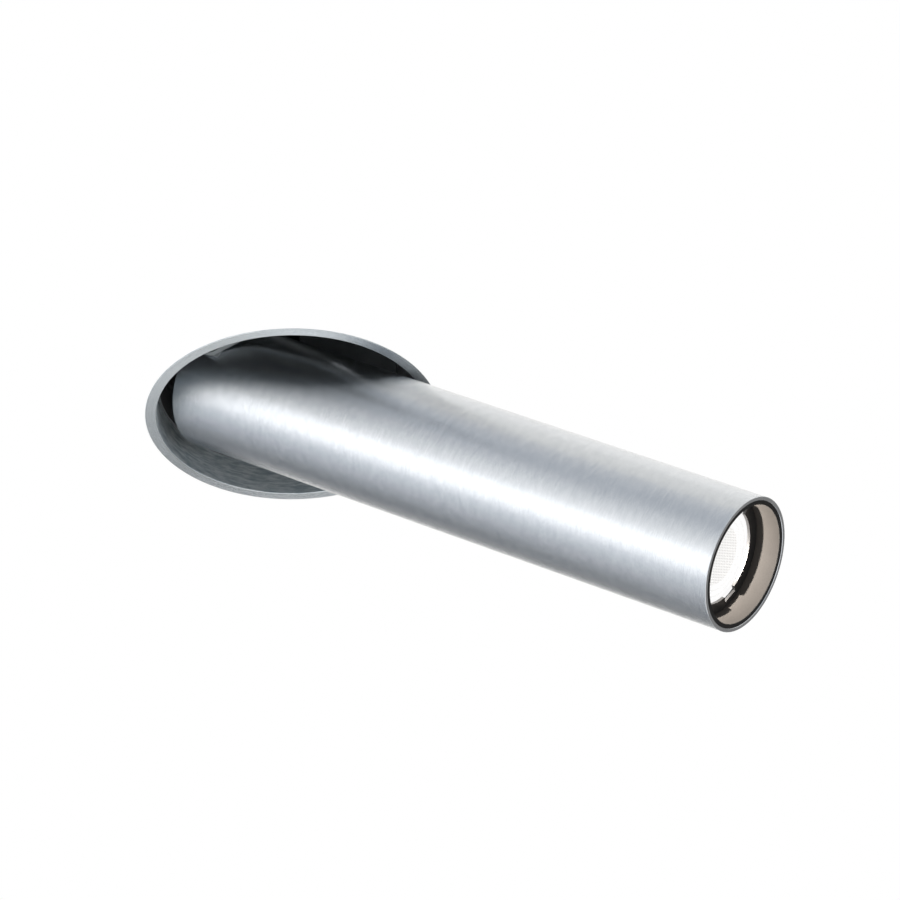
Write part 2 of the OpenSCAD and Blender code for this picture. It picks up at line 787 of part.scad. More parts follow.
cheek_rivet_r = 2;
rivet_head = [3.4, 1.4];
cheek_rivet_x = [6, 19, 32];
lighten_x = [12.5, 29.5];
cheek_rivet_z = [neck_z + 23, table_z - 10];

module rivet_holes(r) {
    for (s = [-1, 1], x = cheek_rivet_x, z = cheek_rivet_z)
        translate([x, s * (cheek_in_y - over), z]) rotate([-s * 90, 0, 0])
            cylinder(r = r, h = cheek_t + ear_t + 2 * over);
}

// Outline of a cheek: a plate that narrows to the boss round the hinge bolt
module cheek_shape() {
    low = neck_z - 2;
    top = table_z - 2;
    corner = 7;
    lighten_z = neck_z + 37;
    lighten_r = 7;
    difference() {
        union() {
            polygon([
                [cheek_x0, top], [cheek_x0, low + corner], [cheek_x0 + corner, low],
                [hinge_off - boss_r * 0.9, hinge_z], [hinge_off + boss_r * 0.9, hinge_z],
                [cheek_x1, hinge_z + boss_r], [cheek_x1, top]
            ]);
            translate([hinge_off, hinge_z]) circle(r = boss_r);
        }
        translate([hinge_off, hinge_z]) circle(r = bolt_r + run_gap);
        for (x = lighten_x) translate([x, lighten_z]) circle(r = lighten_r);
    }
}

module cheek(s) color("#565b60") difference() {
    translate([0, s * (cheek_in_y + cheek_t / 2) + cheek_t / 2, 0]) rotate([90, 0, 0])
        linear_extrude(cheek_t) cheek_shape();
    rivet_holes(cheek_rivet_r + slip_gap);
}

module cheek_left() cheek(1);

module cheek_right() cheek(-1);

module cheek_rivets() color("#c4c7ca")
    for (s = [-1, 1], x = cheek_rivet_x, z = cheek_rivet_z)
        translate([x, s * cheek_in_y, z]) rotate([-s * 90, 0, 0]) union() {
            grip = cheek_t + ear_t;
            translate([0, 0, slip_gap]) cylinder(r = cheek_rivet_r, h = grip + slip_gap);
            translate([0, 0, grip + slip_gap])
                cylinder(r1 = rivet_head[0], r2 = cheek_rivet_r, h = rivet_head[1]);
        }

module pan_spindle() color("#c9ccd0") difference() {
    union() {
        translate([0, 0, table_z - spindle_head_h])
            cylinder(r = spindle_r + spindle_flange, h = spindle_head_h);
        translate([0, 0, table_z - eps]) cylinder(r = spindle_r, h = spindle_top - table_z);
    }
    translate([0, 0, table_z - reach])
        cylinder(r = spindle_bore / 2, h = spindle_top - table_z + 2 * reach);
}

module pan_washer() color("#6b5b45")
    translate([0, 0, washer_z]) ring(spindle_r + slip_gap, spindle_r + pan_washer_w, pan_washer_t);

module pan_spring() color("#d4d6d8") translate([0, 0, pan_spring_z]) rotate_extrude() polygon([
    [spindle_r + slip_gap, pan_spring_h - disc_t], [spindle_r + slip_gap, pan_spring_h],
    [spindle_r + disc_land, pan_spring_h], [spindle_r + disc_w, disc_t], [spindle_r + disc_w, 0]
]);

module pan_nut() color("#b9bdc2") translate([0, 0, pan_nut_z]) difference() {
    intersection() {
        cylinder(r = pan_nut_r, h = pan_nut_h, $fn = 6);
        union() {
            cylinder(r = pan_nut_r, h = pan_nut_h - nut_bevel);
            translate([0, 0, pan_nut_h - nut_bevel - eps])
                cylinder(r1 = pan_nut_r, r2 = pan_nut_r - 2 * nut_bevel, h = nut_bevel + eps);
        }
    }
    translate([0, 0, -over]) cylinder(r = spindle_r, h = pan_nut_h + 2 * over);
}

/* Tilt hinge */

module at_hinge(s) {
    translate([hinge_off, 0, hinge_z]) rotate([-s * 90, 0, 0]) children();
}

module tilt_bolts() color("#c9ccd0") for (s = [-1, 1]) at_hinge(s) difference() {
    in_y = arm_in_y - face_gap - tilt_nut_h - over;
    head_top = cheek_out_y + bolt_head_h;
    union() {
        translate([0, 0, in_y]) cylinder(r = bolt_r, h = cheek_out_y - in_y + over);
        rotate_extrude() polygon([
            [0, cheek_out_y + face_gap], [bolt_head_r, cheek_out_y + face_gap],
            [bolt_head_r, head_top - bolt_bevel], [bolt_head_r - bolt_bevel, head_top], [0, head_top]
        ]);
    }
    translate([0, 0, head_top - bolt_socket[1]])
        cylinder(r = bolt_socket[0], h = bolt_socket[1] + over, $fn = 6);
}

module tilt_nuts() color("#c9ccd0") for (s = [-1, 1]) at_hinge(s)
    translate([0, 0, arm_in_y - face_gap - tilt_nut_h]) difference() {
        cylinder(r = bolt_r + tilt_nut_w, h = tilt_nut_h, $fn = 6);
        translate([0, 0, -over]) cylinder(r = bolt_r, h = tilt_nut_h + 2 * over);
    }

module tilt_washers() color("#e6e2d6") for (s = [-1, 1]) at_hinge(s)
    translate([0, 0, arm_out_y + face_gap])
        ring(bolt_r + run_gap, arm_boss_r, tilt_washer_t);

stop_pin_r = 2;
stop_pin_at = 24;

// Direction from the hinge to the arm's knee, in the plane of the arm
knee_dir = unit(arm_knee - arm_hinge);
knee_side = [-knee_dir[1], knee_dir[0]];
stop_pin_gap = 0.2;

module tilt_stops() color("#8c9196") for (side = [0, 1])
    translate([hinge_off, 0, hinge_z]) rotate([0, side * tilt, 0]) translate([-hinge_off, 0, -hinge_z])
        on_lamp() {
            off = (side == 0 ? -1 : 1) * (arm_half + stop_pin_r + stop_pin_gap);
            at = arm_hinge + stop_pin_at * knee_dir + off * knee_side;
            translate([at[0], -cheek_in_y, at[1]]) rotate([-90, 0, 0])
                cylinder(r = stop_pin_r, h = arm_t);
        }

/* Lamp */

module arm_screw_places() {
    for (s = [-1, 1], z = [-1, 1])
        translate([arm_foot[0], 0, arm_foot[1] + z * arm_screw_gap / 2])
            rotate([-s * 90, 0, 0]) translate([0, 0, arm_out_y - slip_gap]) children();
}

arm_screw_r = 1.7;
arm_screw_head = 3;
arm_screw_grip = 2.4;
arm_pad = [12, 2.6, 13];

// Outline of a tilt arm: two straight runs with a mitred knee, between round ends
module arm_shape() {
    first = unit(arm_knee - arm_foot);
    second = unit(arm_hinge - arm_knee);
    mitre = unit(first + second);
    foot_side = arm_half * [-first[1], first[0]];
    hinge_side = arm_half * [-second[1], second[0]];
    knee_side = arm_half / (mitre * first) * [-mitre[1], mitre[0]];
    polygon([
        arm_foot + foot_side, arm_knee + knee_side, arm_hinge + hinge_side,
        arm_hinge - hinge_side, arm_knee - knee_side, arm_foot - foot_side
    ]);
    translate(arm_foot) circle(r = arm_foot_r);
    translate(arm_hinge) circle(r = arm_boss_r);
}

// Flat arm from the tube's flank to the hinge bolt, with a pad that fits the tube
module tilt_arm(s) color("#565b60") on_lamp() difference() {
    union() {
        translate([0, s * (arm_in_y + arm_t / 2) + arm_t / 2, 0]) rotate([90, 0, 0])
            linear_extrude(arm_t) arm_shape();
        translate([arm_foot[0], s * (arm_in_y - arm_pad[1] / 2 + slip_gap), arm_foot[1]])
            cube(arm_pad, center = true);
    }
    translate([0, 0, -2 * rear_s]) cylinder(r = tube_r + eps, h = 4 * rear_s);
    translate([arm_hinge[0], -arm_out_y - over, arm_hinge[1]]) rotate([-90, 0, 0])
        cylinder(r = bolt_r + run_gap, h = 2 * (arm_out_y + over));
    arm_screw_places() sunk_hole(arm_screw_r, arm_screw_head, reach);
}

// The lamp's own Y points to -Y, so the left arm lies on the lamp's -Y side
module tilt_arm_left() tilt_arm(-1);

module tilt_arm_right() tilt_arm(1);

module arm_screws() color("#b9bdc2")
    on_lamp() arm_screw_places() sunk_screw(arm_screw_r, arm_screw_head, arm_t + tube_wall + arm_screw_grip);

module lamp_tube() color("#aab2bb") on_lamp() difference() {
    translate([0, 0, -rear_s]) rotate_extrude($fn = 180) union() {
        r = rear_round;
        polygon([
            [tube_in_r, 0], [tube_r - r, 0], [tube_r - r, r], [tube_r, r],
            [tube_r, tube_len - front_bevel], [tube_r - front_bevel, tube_len],
            [tube_in_r + front_bevel, tube_len], [tube_in_r, tube_len - front_bevel]
        ]);
        intersection() {
            translate([tube_r - r, r]) circle(r = r, $fn = 48);
            translate([tube_r - r, 0]) square([r, r]);
        }
    }
    arm_screw_places() translate([0, 0, -reach]) cylinder(r = arm_screw_r + slip_gap, h = reach);
}

cap_bevel = 0.6;
cap_groove_z = 3;
key_at = 22;
key_r = 1.8;
key_depth = 2.5;
seal_nip = 0.03;

// Plug that closes the tube's rear end, with a groove for its seal
module rear_cap() color("#33363a") on_lamp() translate([0, 0, -rear_s + cap_sink]) difference() {
    r = tube_in_r - run_gap;
    groove = o_ring + run_gap;
    groove_top = cap_groove_z + o_ring + 2 * slip_gap;
    rotate_extrude($fn = 180) polygon([
        [0, 0], [r - cap_bevel, 0], [r, cap_bevel], [r, cap_groove_z], [r - groove, cap_groove_z],
        [r - groove, groove_top], [r, groove_top], [r, cap_t], [0, cap_t]
    ]);
    translate([0, 0, -over]) cylinder(r = lead_r, h = cap_t + 2 * over);
    for (a = [0, 180]) rotate([0, 0, a]) translate([key_at, 0, -over])
        cylinder(r = key_r, h = key_depth + over);
}

module rear_seal() color("#141516") on_lamp()
    translate([0, 0, -rear_s + cap_sink + cap_groove_z + o_ring / 2 + slip_gap]) rotate_extrude()
        translate([tube_in_r - o_ring / 2 - seal_nip, 0]) circle(r = o_ring / 2, $fn = 24);

lead_r = 6;
lead_bore = 6.4;
lead_tail = 3;
lead_hex_h = 4;
lead_hex_w = 3;
lead_dome = [[1.5, 0], [-0.5, 1.5], [-1.4, 4]];

// Cord gland on the rear cap: flange, hexagon and dome, open right through
module lead_gland() color("#2b2d30") on_lamp() translate([0, 0, -rear_s + cap_sink]) difference() {
    out = gland_h + cap_sink;
    union() {
        cylinder(r = lead_r, h = cap_t + lead_tail);
        translate([0, 0, -lead_hex_h]) cylinder(r = lead_r + lead_hex_w, h = lead_hex_h, $fn = 6);
        translate([0, 0, -out]) rotate_extrude() polygon(concat(
            [[0, 0]], [for (d = lead_dome) [lead_r - d[0], d[1]]],
            [[lead_r - lead_dome[2][0], out - lead_hex_h], [0, out - lead_hex_h]]
        ));
    }
    translate([0, 0, -out - over]) cylinder(r = lead_bore / 2, h = out + cap_t + reach);
}

tray_w = 44;
driver_w = 38;
driver_h = 26;
driver_wall_gap = 0.2;
tray_len = driver_len + 14;
tray_lip = 8;
tray_side = 10;
tray_hole_at = [0.3, 0.5, 0.7];
tray_hole_r = 4;
driver_at = 12;
driver_round = 3;
wire_port_r = 1.6;
wire_port_l = 7;
wire_port_y = [-8, 0, 8];
wire_port_x = 5;

// Folded tray that carries the driver, fixed to the rear cap
module driver_tray() color("#c0c4c8") on_lamp() translate([0, 0, tray_s]) difference() {
    floor_x = -driver_h / 2 - driver_wall_gap - tray_t;
    union() {
        translate([floor_x, -tray_w / 2, 0]) cube([tray_t, tray_w, tray_len]);
        translate([floor_x, -tray_w / 2, 0]) cube([tray_side, tray_t, tray_len]);
        translate([floor_x, tray_w / 2 - tray_t, 0]) cube([tray_side, tray_t, tray_len]);
        translate([floor_x, -tray_w / 2, 0]) cube([tray_lip, tray_w, tray_t]);
    }
    for (share = tray_hole_at) translate([floor_x - over, 0, tray_len * share]) rotate([0, 90, 0])
        cylinder(r = tray_hole_r, h = tray_t + 2 * over);
}

module led_driver() color("#e4e4e0") on_lamp()
    translate([0, 0, tray_s + driver_at]) difference() {
        linear_extrude(driver_len) round_rect(driver_h, driver_w, driver_round);
        for (y = wire_port_y, z = [-over, driver_len - wire_port_l]) translate([wire_port_x, y, z])
            cylinder(r = wire_port_r, h = wire_port_l + over);
    }

// Heat sink with a solid base under the light source and straight fins behind it
module heat_sink() color("#9aa0a6") on_lamp() translate([0, 0, sink_s - sink_len]) difference() {
    r = tube_in_r - slip_gap;
    union() {
        cylinder(r = sink_core_r, h = sink_len);
        translate([0, 0, sink_len - sink_base]) cylinder(r = r, h = sink_base);
        intersection() {
            cylinder(r = r, h = sink_len);
            for (i = [0:fins - 1]) rotate([0, 0, i * 360 / fins])
                translate([sink_core_r - over, -fin_t / 2, 0]) cube([r, fin_t, sink_len - over]);
        }
    }
    translate([0, 0, -over]) cylinder(r = sink_bore_r, h = sink_len - sink_base);
    board_screw_places() translate([0, 0, sink_len - board_screw_l])
        cylinder(r = board_tap_r, h = board_screw_l + over);
}

board_screw_at = 17;
board_screw_l = 7;
board_tap_r = 1.4;
sink_bore_r = 4;
chip_r = 7;
chip_t = 0.8;

module board_screw_places() {
    for (a = [0, 120, 240]) rotate([0, 0, a + 60]) translate([board_screw_at, 0, 0]) children();
}

// Metal-core board with its round light source and three screws
module led_board() color("#e8e6da") on_lamp() translate([0, 0, sink_s]) difference() {
    union() {
        cylinder(r = board_r, h = board_t);
        translate([0, 0, board_t - eps]) cylinder(r = chip_r, h = chip_t);
    }
    board_screw_places() through_hole(board_tap_r);
}

clamp = [9, 15, 2.4];
clamp_ear = [3.2, 1.4];

// Clamp ring that centres the lens over the light source
module led_holder() color("#f0efe9") on_lamp() translate([0, 0, board_s]) difference() {
    union() {
        ring(clamp[0], clamp[1], clamp[2]);
        board_screw_places() cylinder(r = clamp_ear[0], h = clamp_ear[1]);
    }
    board_screw_places() through_hole(board_tap_r);
}

// Solid optic: flat front, thin flange and a tapering body with a hollow over the source
module optic_lens() color("#f6f6f2") on_lamp() translate([0, 0, lens_s - lens_h]) rotate_extrude() {
    body_r = lens_r - 0.4;
    hollow = [[3.5, 0.42], [7, 0.3]];
    neck = [9.5, 8];
    waist = [0.72, 0.4];
    polygon([
        [neck[1], 0], [neck[0], 0], [body_r * waist[0], lens_h * waist[1]],
        [body_r, lens_h - lens_flange_t], [lens_flange_r, lens_h - lens_flange_t],
        [lens_flange_r, lens_h], [0, lens_h], [0, lens_h * 0.45],
        [hollow[0][0], lens_h * hollow[0][1]], [hollow[1][0], lens_h * hollow[1][1]]
    ]);
}

module lens_seal() color("#1a1b1c") on_lamp()
    translate([0, 0, lens_s - lens_flange_t - seal_t]) ring(lens_r - ledge_in, lens_flange_r, seal_t);

seal_t = 1;
ledge_in = 0.2;
ledge_h = 2;
notch_over = 2;

// Black holder with a lip over the lens, cut by three notches
module lens_holder() color("#151617") on_lamp() translate([0, 0, board_s]) difference() {
    foot_r = board_r + 0.2;
    foot_h = 2;
    seat_r = lens_flange_r + slip_gap;
    lip_z = holder_h - lip_h;
    ledge_top = lip_z - lens_flange_t - seal_t;
    rotate_extrude($fn = 180) polygon([
        [foot_r, 0], [holder_r, 0], [holder_r, holder_h], [lens_r, holder_h], [lens_r, lip_z],
        [seat_r, lip_z], [seat_r, ledge_top], [lens_r - ledge_in, ledge_top],
        [lens_r - ledge_in, ledge_top - ledge_h], [seat_r, ledge_top - ledge_h], [seat_r, foot_h],
        [foot_r, foot_h]
    ]);
    for (i = [0:2]) rotate([0, 0, notch_angle + i * 120])
        translate([lens_r - notch_over, -notch_w / 2, lip_z - notch_drop])
            cube([notch_in + notch_over, notch_w, lip_h + notch_drop + over]);
}

snoot_step = 0.1;
snoot_bevel = 0.2;

// Black snoot round the holder, flush with the tube's front edge
module snoot() color("#6f675f") on_lamp() translate([0, 0, front_s - snoot_len]) difference() {
    groove = snoot_ring + run_gap;
    half = snoot_ring / 2 + 2 * slip_gap;
    seal_z = snoot_len - snoot_ring_gap;
    front = snoot_len - snoot_step;
    rotate_extrude($fn = 180) polygon([
        [snoot_in_r, 0], [snoot_r, 0], [snoot_r, seal_z - half], [snoot_r - groove, seal_z - half],
        [snoot_r - groove, seal_z + half], [snoot_r, seal_z + half], [snoot_r, front - snoot_bevel],
        [snoot_r - snoot_bevel, front], [snoot_in_r + snoot_bevel, front],
        [snoot_in_r, front - snoot_bevel]
    ]);
}

module snoot_seal() color("#141516") on_lamp()
    translate([0, 0, front_s - snoot_ring_gap]) rotate_extrude()
        translate([tube_in_r - seal_nip - snoot_ring / 2, 0]) circle(r = snoot_ring / 2, $fn = 24);

// Least gap between the coil's turns, printed with its limit
echo(spring_gap = coil_pitch - wire_d, least = 0.4);

trim_ring();
soffit_gasket();
can_skirt();
recess_can();
collar_screws();
can_lid();
lid_screws();
spindle_bush();
pan_stop();
junction_box();
junction_lid();
box_screws();
terminal_block();
gland_body();
gland_nut();
gland_seal();
clip_bracket(1);  // clip_bracket_1
clip_bracket(2);  // clip_bracket_2
clip_bracket(3);  // clip_bracket_3
clip_pins();
clip_rivets();
clip_spring(1);  // clip_spring_1
clip_spring(2);  // clip_spring_2
clip_spring(3);  // clip_spring_3
clip_arm(1);  // clip_arm_1
clip_arm(2);  // clip_arm_2
clip_arm(3);  // clip_arm_3
clip_pad(1);  // clip_pad_1
clip_pad(2);  // clip_pad_2
clip_pad(3);  // clip_pad_3
turntable();
pan_spindle();
pan_washer();
pan_spring();
pan_nut();
cheek_left();
cheek_right();
cheek_rivets();
tilt_bolts();
tilt_nuts();
tilt_washers();
tilt_stops();
tilt_arm_left();
tilt_arm_right();
arm_screws();
lamp_tube();
rear_cap();
rear_seal();
lead_gland();
driver_tray();
led_driver();
heat_sink();
led_board();
led_holder();
optic_lens();
lens_seal();
lens_holder();
snoot();
snoot_seal();
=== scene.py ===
import json
import math
import bpy
from mathutils import Matrix, Vector

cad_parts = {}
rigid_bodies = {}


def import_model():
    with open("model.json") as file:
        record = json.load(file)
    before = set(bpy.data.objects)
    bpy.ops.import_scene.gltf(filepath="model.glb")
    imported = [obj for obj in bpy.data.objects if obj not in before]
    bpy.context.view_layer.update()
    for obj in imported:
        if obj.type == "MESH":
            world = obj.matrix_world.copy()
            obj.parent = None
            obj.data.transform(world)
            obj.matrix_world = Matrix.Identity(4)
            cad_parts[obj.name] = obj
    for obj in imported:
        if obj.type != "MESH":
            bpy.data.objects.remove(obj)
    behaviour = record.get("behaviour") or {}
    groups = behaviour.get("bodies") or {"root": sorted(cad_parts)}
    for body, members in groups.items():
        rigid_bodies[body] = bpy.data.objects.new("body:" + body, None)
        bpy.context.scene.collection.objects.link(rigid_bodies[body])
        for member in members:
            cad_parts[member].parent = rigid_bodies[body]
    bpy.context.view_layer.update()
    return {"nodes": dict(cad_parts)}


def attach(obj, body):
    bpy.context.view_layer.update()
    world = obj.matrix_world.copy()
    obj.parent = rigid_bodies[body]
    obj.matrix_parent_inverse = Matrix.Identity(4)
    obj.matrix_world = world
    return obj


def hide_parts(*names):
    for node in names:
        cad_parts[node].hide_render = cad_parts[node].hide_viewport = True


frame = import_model()
nodes = frame["nodes"]
print("frame loaded,", len(nodes), "nodes")

# The lamp's own axis, in metres and degrees: its places count from the aim point towards the front
lamp = {"tilt": 56.3, "aimZ": 0.00310088, "front": 0.28829024, "holder": 0.27429024}
lampAim = (0, 0, lamp["aimZ"])
lampRotation = (0, math.radians(180 - lamp["tilt"]), 0)
lampTurn = Matrix.Rotation(lampRotation[1], 3, "Y")


def alongLamp(s):
    # the point on the lamp's axis at s
    return Vector(lampAim) + lampTurn @ Vector((0, 0, s))


# shader maths

class Wire:
    def __init__(self, finish, socket):
        self.finish = finish
        self.socket = socket

    def maths(self, operation, a, b=0.0):
        return self.finish.node("ShaderNodeMath", {"operation": operation}, {0: a, 1: b})

    def __add__(self, other):
        return self.maths("ADD", self, other)

    def __radd__(self, other):
        return self.maths("ADD", other, self)

    def __sub__(self, other):
        return self.maths("SUBTRACT", self, other)

    def __rsub__(self, other):
        return self.maths("SUBTRACT", other, self)

    def __mul__(self, other):
        return self.maths("MULTIPLY", self, other)

    def __rmul__(self, other):
        return self.maths("MULTIPLY", other, self)

    def __truediv__(self, other):
        return self.maths("DIVIDE", self, other)

    def __rtruediv__(self, other):
        return self.maths("DIVIDE", other, self)

    def __pow__(self, other):
        return self.maths("POWER", self, other)

    def __rpow__(self, other):
        return self.maths("POWER", other, self)

    def fract(self):
        return self.maths("FRACT", self)

    def least(self, other):
        return self.maths("MINIMUM", self, other)

    def most(self, other):
        return self.maths("MAXIMUM", self, other)

    def part(self, name):
        return Wire(self.finish, self.socket.node.outputs[name])


class Finish:
    def __init__(self, name, fixed=None, tree=None):
        if tree is None:
            self.material = bpy.data.materials.new(name)
            self.material.use_nodes = True
            tree = self.material.node_tree
        self.tree = tree
        self.tree.nodes.clear()
        self.shader = None
        if fixed is not None:
            self.shader = self.tree.nodes.new("ShaderNodeBsdfPrincipled")
            end = self.tree.nodes.new("ShaderNodeOutputMaterial")
            self.tree.links.new(self.shader.outputs[0], end.inputs[0])
            for name, value in fixed.items():
                self.shader.inputs[name].default_value = value
            self.coords = self.node("ShaderNodeTexCoord", out="Object")

    def node(self, kind, settings=None, sockets=None, out=0):
        made = self.tree.nodes.new(kind)
        for name, value in (settings or {}).items():
            if name == "stops":
                elements = made.color_ramp.elements
                elements[0].position, elements[1].position = value[0][0], value[-1][0]
                for at, colour in value[1:-1]:
                    elements.new(at)
                for element, (at, colour) in zip(elements, value):
                    element.color = colour if isinstance(colour, tuple) else (colour, colour, colour, 1)
            else:
                setattr(made, name, value)
        for name, value in (sockets or {}).items():
            if isinstance(value, Wire):
                self.tree.links.new(value.socket, made.inputs[name])
            else:
                made.inputs[name].default_value = value
        return Wire(self, made.outputs[out]) if made.outputs else None

    def feed(self, name, wire):
        self.tree.links.new(wire.socket, self.shader.inputs[name])

    def turned(self, at=(0, 0, 0), turn=(0, 0, 0), size=(1, 1, 1)):
        # coordinates from a point, along turned axes, counted in pattern sizes
        return self.node("ShaderNodeMapping", {"vector_type": "TEXTURE"},
                         {"Vector": self.coords, "Location": at, "Rotation": turn, "Scale": size})

    def noise(self, vector, scale=1.0, detail=2.0, rough=0.5, skew=0.0):
        return self.node("ShaderNodeTexNoise", None, {"Vector": vector, "Scale": scale, "Detail": detail,
                                                      "Roughness": rough, "Distortion": skew})

    def ramp(self, value, stops):
        return self.node("ShaderNodeValToRGB", {"stops": stops}, {"Fac": value})

    def mix(self, share, first, second, way="MIX"):
        def rgba(c):
            return c if isinstance(c, Wire) else (*c[:3], 1)
        return self.node("ShaderNodeMix", {"data_type": "RGBA", "blend_type": way},
                         {0: share, 6: rgba(first), 7: rgba(second)}, out=2)

    def bump(self, height, depth, under=None):
        # depth is the height in metres of a full step
        sockets = {"Height": height, "Distance": depth}
        if under is not None:
            sockets["Normal"] = under
        self.feed("Normal", self.node("ShaderNodeBump", None, sockets))

    def brushed(self, across, spread):
        # the finest brushing tips each bit of the surface its own way along one direction
        world = self.node("ShaderNodeVectorTransform", {"vector_type": "VECTOR", "convert_from": "OBJECT",
                                                        "convert_to": "WORLD"}, {0: across})
        grain = self.node("ShaderNodeTexWhiteNoise", {"noise_dimensions": "3D"}, {"Vector": self.coords},
                          out="Value")
        tip = self.node("ShaderNodeVectorMath", {"operation": "SCALE"},
                        {0: world, "Scale": (grain - 0.5) * spread})
        plain = self.node("ShaderNodeNewGeometry", out="Normal")
        tipped = self.node("ShaderNodeVectorMath", {"operation": "ADD"}, {0: plain, 1: tip})
        return self.node("ShaderNodeVectorMath", {"operation": "NORMALIZE"}, {0: tipped})


# finishes

# Each kind of mark has its length round the tube and its width along it
brush = {"strokes": (0.0060, 0.00050), "fine": (0.0030, 0.00026), "clouds": (0.007, 0.004),
         "deep": (0.555, 0.588, 0.625), "light": (0.685, 0.712, 0.742),
         "rough": 0.19, "depth": 0.000085, "spread": 0.75}


def brushedTube():
    # short strokes run round the tube and tip the light along it; faint clouds lie under them
    f = Finish("brushedTube", {"Metallic": 1.0})

    def drawn(kind, detail, rough, skew=0.0):
        long, wide = brush[kind]
        return f.noise(f.turned(lampAim, lampRotation, (long, long, wide)), 1, detail, rough, skew)
    strokes = drawn("strokes", 2, 0.6, 0.2)
    fine = drawn("fine", 2, 0.6, 0.3)
    clouds = drawn("clouds", 3, 0.55)
    shade = f.ramp(strokes * 0.35 + fine * 0.25 + clouds * 0.40, [(0.30, 0.0), (0.70, 1.0)])
    f.feed("Base Color", f.mix(shade, brush["deep"], brush["light"]))
    f.feed("Roughness", brush["rough"] + strokes * 0.05 + clouds * 0.04)
    f.bump(strokes, brush["depth"], f.brushed(lampTurn @ Vector((0, 0, 1)), brush["spread"]))
    return f.material


# Each kind of mark has its length round the ring and its width across it. The face is the ring's underside,
# and the wall's finish, with its colours darkened as painted shade of the recess, comes in from wallFrom up
# to wallFull
lathe = {"marks": (0.014, 0.00042), "bands": (0.05, 0.0016), "blots": (0.008, 0.0014),
         "face": ((0.53, 0.565, 0.585), (0.68, 0.715, 0.735)),
         "wall": ((0.34, 0.40, 0.44), (0.60, 0.645, 0.665)), "wallFrom": -0.00218, "wallFull": -0.00205,
         "rough": 0.20, "wallRough": 0.62, "depth": 0.00006, "spread": 0.7}


def brushedRing():
    # lathe marks run round the ring, on its face and up its wall; the wall is rougher than the face and
    # painted darker as shade of the recess
    f = Finish("brushedRing", {"Metallic": 1.0})
    flat = f.node("ShaderNodeSeparateXYZ", None, {0: f.coords})
    x, y, z = flat.part("X"), flat.part("Y"), flat.part("Z")
    radius = (x * x + y * y) ** 0.5
    across = radius + z

    def drawn(kind, detail, rough, skew=0.0):
        long, wide = lathe[kind]
        at = f.node("ShaderNodeCombineXYZ", None, {"X": x / long, "Y": y / long, "Z": across / wide})
        return f.noise(at, 1, detail, rough, skew)
    marks = drawn("marks", 3, 0.62, 0.1)
    bands = drawn("bands", 2, 0.6)
    blots = drawn("blots", 3, 0.6, 0.3)
    wall = f.node("ShaderNodeMapRange", None, {0: z, 1: lathe["wallFrom"], 2: lathe["wallFull"]})
    face = f.mix(marks * 0.45 + bands * 0.55, *lathe["face"])
    # the wall's colours are darker than the face's: painted shade of the recess
    inside = f.mix(f.ramp(blots, [(0.34, 0.0), (0.62, 1.0)]), *lathe["wall"])
    f.feed("Base Color", f.mix(wall, face, inside))
    f.feed("Roughness", lathe["rough"] + marks * 0.08 + wall * (lathe["wallRough"] - lathe["rough"]))
    outward = f.node("ShaderNodeCombineXYZ", None, {"X": x / radius, "Y": y / radius, "Z": 1.0})
    f.bump(marks, lathe["depth"], f.brushed(outward, lathe["spread"]))
    return f.material


def powderCoat(name, deep, light, grain=0.0007, depth=0.00003, rough=0.55, gloss=0.35):
    # sprayed powder: a fine orange peel and faint cloudy shade
    f = Finish(name, {"Specular IOR Level": gloss})
    peel = f.noise(f.coords, 1 / grain, 2, 0.5)
    clouds = f.noise(f.coords, 90, 3, 0.6)
    f.feed("Base Color", f.mix(clouds * 0.7 + peel * 0.3, deep, light))
    f.feed("Roughness", (rough - 0.08) + peel * 0.16)
    f.bump(peel, depth)
    return f.material


def plated(name, deep, light, rough=0.3, blotch=120.0):
    # plated steel: slight blotches, dull spots and fine scratches
    f = Finish(name, {"Metallic": 1.0})
    clouds = f.noise(f.coords, blotch, 4, 0.6, 0.4)
    scratches = f.noise(f.turned(size=(0.0003, 0.004, 0.0005)), 1, 3, 0.6)
    f.feed("Base Color", f.mix(clouds, deep, light))
    f.feed("Roughness", (rough - 0.06) + clouds * 0.16 + scratches * 0.08)
    f.bump(scratches, 0.000004)
    return f.material


def castMetal(name, deep, light, grain=0.0009, rough=0.5, metallic=1.0):
    # bead-blasted casting: pitted grain under a soft sheen
    f = Finish(name, {"Metallic": metallic})
    grit = f.noise(f.coords, 1 / grain, 4, 0.7)
    clouds = f.noise(f.coords, 45, 3, 0.55)
    f.feed("Base Color", f.mix(clouds * 0.6 + grit * 0.4, deep, light))
    f.feed("Roughness", (rough - 0.08) + grit * 0.18)
    f.bump(grit, 0.00003)
    return f.material


def moulded(name, deep, light, rough=0.4, grain=0.0004, depth=0.000012):
    # moulded plastic: spark-eroded grain and a faint flow shade
    f = Finish(name, {"Specular IOR Level": 0.5})
    grain = f.noise(f.coords, 1 / grain, 2, 0.5)
    flow = f.noise(f.turned(size=(0.02, 0.05, 0.02)), 1, 2, 0.5, 0.8)
    f.feed("Base Color", f.mix(flow * 0.75 + grain * 0.25, deep, light))
    f.feed("Roughness", (rough - 0.05) + grain * 0.12)
    f.bump(grain, depth)
    return f.material


def rubber(name, deep, light, rough=0.75, pores=0.0006, depth=0.00004):
    # soft rubber and foam: fine pores, dusty bloom
    f = Finish(name, {"Specular IOR Level": 0.3})
    cells = f.node("ShaderNodeTexVoronoi", {"feature": "F1"}, {"Vector": f.coords, "Scale": 1 / pores},
                   out="Distance")
    bloom = f.noise(f.coords, 60, 4, 0.65)
    f.feed("Base Color", f.mix(bloom, deep, light))
    f.feed("Roughness", (rough - 0.1) + bloom * 0.2)
    f.bump(cells, depth)
    return f.material


